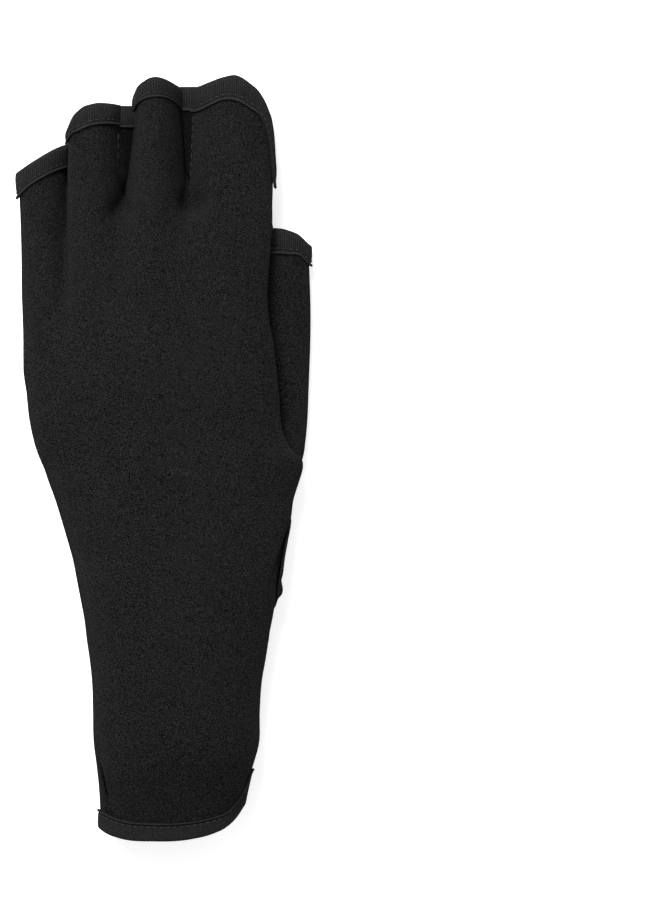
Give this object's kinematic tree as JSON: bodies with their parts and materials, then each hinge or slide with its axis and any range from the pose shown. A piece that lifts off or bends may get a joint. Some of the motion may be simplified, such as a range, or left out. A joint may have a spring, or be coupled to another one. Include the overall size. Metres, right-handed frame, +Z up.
{
  "type": "webbed swim glove",
  "caption": "Half-finger stretch swim glove for a left hand, lying palm down, with a long wrist, folded finger webs and bound openings.",
  "frame": {"origin": "middle of the glove's box on the surface that it lies on, palm down", "axes": "+Y from the cuff to the fingertips, +X across to the thumb, +Z up from the back of the hand"},
  "size_m": [0.0969, 0.2548, 0.0339],
  "materials": {
    "cloth": "black stretch knit, matt, with fine wales and faint grey heather",
    "web_cloth": "black stretch knit, folded",
    "binding_tape": "black finely ribbed stretch tape, slightly lighter than the cloth"
  },
  "bodies": {
    "root": {"back_panel": "cloth", "palm_panel": "cloth", "thumb_sleeve": "cloth", "web_index_middle": "web_cloth", "web_middle_ring": "web_cloth", "web_ring_little": "web_cloth", "binding_little": "binding_tape", "binding_ring": "binding_tape", "binding_middle": "binding_tape", "binding_index": "binding_tape", "binding_thumb": "binding_tape", "binding_cuff": "binding_tape"}
  },
  "joints": []
}
